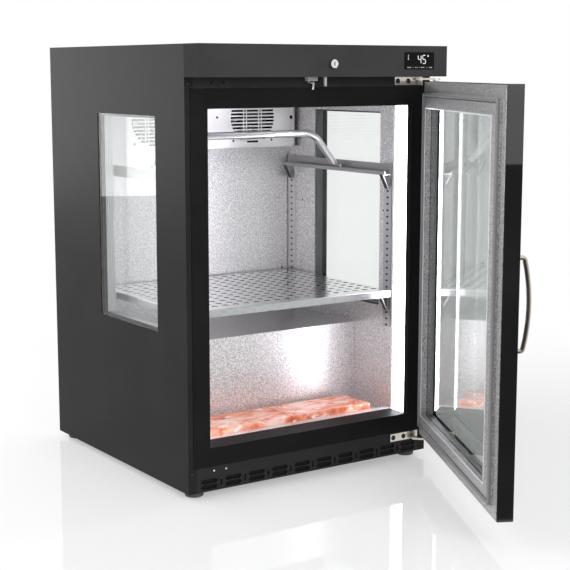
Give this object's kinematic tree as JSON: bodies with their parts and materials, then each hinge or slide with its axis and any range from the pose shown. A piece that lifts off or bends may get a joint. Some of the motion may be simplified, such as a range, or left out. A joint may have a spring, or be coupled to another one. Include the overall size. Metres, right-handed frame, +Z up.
{
  "type": "dry aging cabinet",
  "caption": "Under-counter dry aging cabinet for meat: open glass door, side windows, stucco chamber with hanging bar, perforated shelf and salt blocks, dark casing.",
  "frame": {"origin": "middle of the bottom of the bounding box at rest, with the door open", "axes": "+Z up; the cabinet's front looks along -Y, and its right side, which carries the door hinges, along +X"},
  "size_m": [0.601, 1.1594, 0.8898],
  "materials": {
    "casing": "satin dark grey powder coat",
    "galvanised": "bare zinc-coated steel",
    "black_paint": "satin black powder coat",
    "fascia_paint": "satin dark grey powder coat",
    "stucco_aluminium": "stucco embossed",
    "foam": "polyurethane foam",
    "pane": "clear",
    "diffuser": "opal",
    "fin": "bare",
    "black_plastic": "matt",
    "steel": "brushed",
    "machine_black": "satin black",
    "salt": "rough rock salt",
    "nickel": "warm nickel plate",
    "chrome": "polished",
    "rubber": "matt"
  },
  "bodies": {
    "cabinet": {"left_side_panel": "casing", "right_side_panel": "casing", "top_panel": "casing", "header_rail": "casing", "rear_panel": "galvanised", "base_pan": "galvanised", "front_frame": "black_paint", "bottom_grille": "black_paint", "fascia": "fascia_paint", "liner_left": "stucco_aluminium", "liner_right": "stucco_aluminium", "liner_wrap": "stucco_aluminium", "evaporator_cover": "stucco_aluminium", "insulation": "foam", "window_outer_left": "pane", "window_outer_right": "pane", "window_inner_left": "pane", "window_inner_right": "pane", "light_strip_left": "diffuser", "light_strip_right": "diffuser", "evaporator_coil": "fin", "evaporator_fan_frame_left": "black_plastic", "evaporator_fan_frame_right": "black_plastic", "controller": "black_plastic", "door_switch": "black_plastic", "drip_tray": "black_plastic", "pilaster_front_left": "steel", "pilaster_rear_left": "steel", "pilaster_front_right": "steel", "pilaster_rear_right": "steel", "hanging_rail_left": "steel", "hanging_rail_right": "steel", "shelf_clip_front_left": "steel", "shelf_clip_rear_left": "steel", "shelf_clip_front_right": "steel", "shelf_clip_rear_right": "steel", "compressor": "machine_black", "condenser": "machine_black", "salt_block_left": "salt", "salt_block_right": "salt", "hinge_top": "nickel", "hinge_bottom": "nickel", "foot_front_left": "rubber", "foot_front_right": "rubber", "foot_rear_left": "rubber", "foot_rear_right": "rubber"},
    "door": {"door_frame": "casing", "door_liner": "stucco_aluminium", "door_gasket": "rubber", "door_glass_outer": "pane", "door_glass_inner": "pane", "door_handle": "nickel"},
    "hanging_bar": {"hanging_bar": "steel"},
    "shelf": {"perforated_shelf": "steel"},
    "evaporator_fan_left": {"evaporator_fan_left": "black_plastic"},
    "evaporator_fan_right": {"evaporator_fan_right": "black_plastic"},
    "condenser_fan": {"condenser_fan": "fin"},
    "lock_cylinder": {"lock_cylinder": "chrome"},
    "lock_bolt": {"lock_bolt": "steel"},
    "switch_lever": {"door_switch_lever": "steel"}
  },
  "joints": [
    {"name": "door_hinge", "type": "hinge", "parent": "cabinet", "child": "door", "pos_m": [0.28763, -0.05087, 0.436], "axis": [0, 0, 1], "range_deg": [-63.38, 41.6]},
    {"name": "bar_slide", "type": "slide", "parent": "cabinet", "child": "hanging_bar", "axis": [0, 1, 0], "range_m": [-0.16, 0.15]},
    {"name": "shelf_lift", "type": "slide", "parent": "cabinet", "child": "shelf", "axis": [0, 0, 1], "range_m": [0, 0.03]},
    {"name": "evaporator_fan_left_spin", "type": "hinge", "parent": "cabinet", "child": "evaporator_fan_left", "pos_m": [-0.12647, 0.42293, 0.732], "axis": [0, 1, 0], "continuous": true},
    {"name": "evaporator_fan_right_spin", "type": "hinge", "parent": "cabinet", "child": "evaporator_fan_right", "pos_m": [0.12553, 0.42293, 0.732], "axis": [0, 1, 0], "continuous": true},
    {"name": "condenser_fan_spin", "type": "hinge", "parent": "cabinet", "child": "condenser_fan", "pos_m": [-0.13547, 0.29593, 0.1098], "axis": [0, 1, 0], "continuous": true},
    {"name": "lock_turn", "type": "hinge", "parent": "cabinet", "child": "lock_cylinder", "pos_m": [0.00353, -0.06997, 0.8528], "axis": [0, -1, 0], "range_deg": [0, 90]},
    {"name": "bolt_slide", "type": "slide", "parent": "cabinet", "child": "lock_bolt", "axis": [0, 0, 1], "range_m": [0, 0.015]},
    {"name": "switch_lever_hinge", "type": "hinge", "parent": "cabinet", "child": "switch_lever", "pos_m": [-0.01247, -0.02047, 0.817], "axis": [1, 0, 0], "range_deg": [0, 20], "stiffness_Nm_per_rad": 0.01}
  ],
  "couplings": [
    {"joint": "bolt_slide", "follows": "lock_turn", "m_per_rad": 0.00955}
  ]
}
